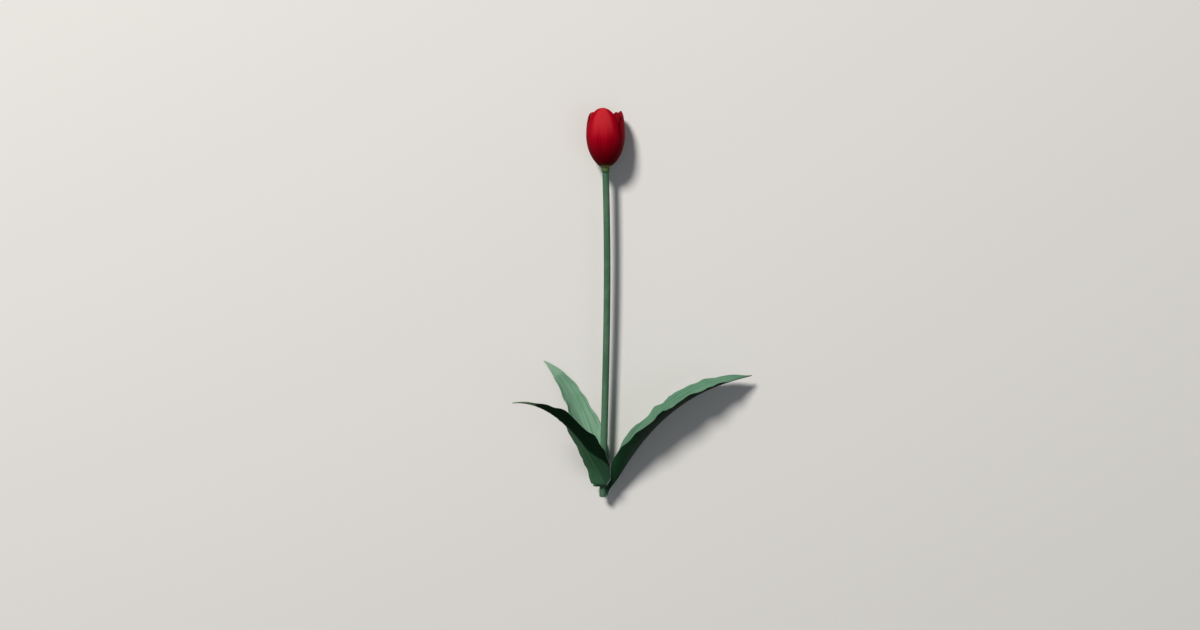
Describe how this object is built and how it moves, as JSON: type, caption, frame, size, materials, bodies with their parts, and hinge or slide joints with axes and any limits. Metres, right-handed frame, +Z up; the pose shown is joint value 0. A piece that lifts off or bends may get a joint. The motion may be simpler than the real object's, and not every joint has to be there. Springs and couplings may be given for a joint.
{
  "type": "tulip",
  "caption": "Cut tulip with a closed goblet-shaped red bloom on a smooth stalk, wavy blue-green leaves clasping its foot, lying on a surface.",
  "frame": {"origin": "centre of the bounding box's bottom face, on the surface the flower lies on", "axes": "+Y along the stalk from the cut to the bloom, +Z up from the surface, +X to the side that the longest leaf arches to"},
  "size_m": [0.2416, 0.3992, 0.0896],
  "materials": {
    "stalk": "smooth green stalk with a faint waxy bloom",
    "leaf": "blue-green waxy leaf with fine lengthwise veins",
    "petal": "satin deep red petal with fine lengthwise streaks",
    "flower_heart": "dark powdery anthers round a pale green pistil"
  },
  "bodies": {
    "root": {"stem": "stalk", "leaf_right": "leaf", "leaf_front_left": "leaf", "leaf_back_left": "leaf", "tepal_outer_front": "petal", "tepal_outer_right": "petal", "tepal_outer_left": "petal", "tepal_inner_right": "petal", "tepal_inner_back": "petal", "tepal_inner_left": "petal", "pistil_and_stamens": "flower_heart"}
  },
  "joints": []
}
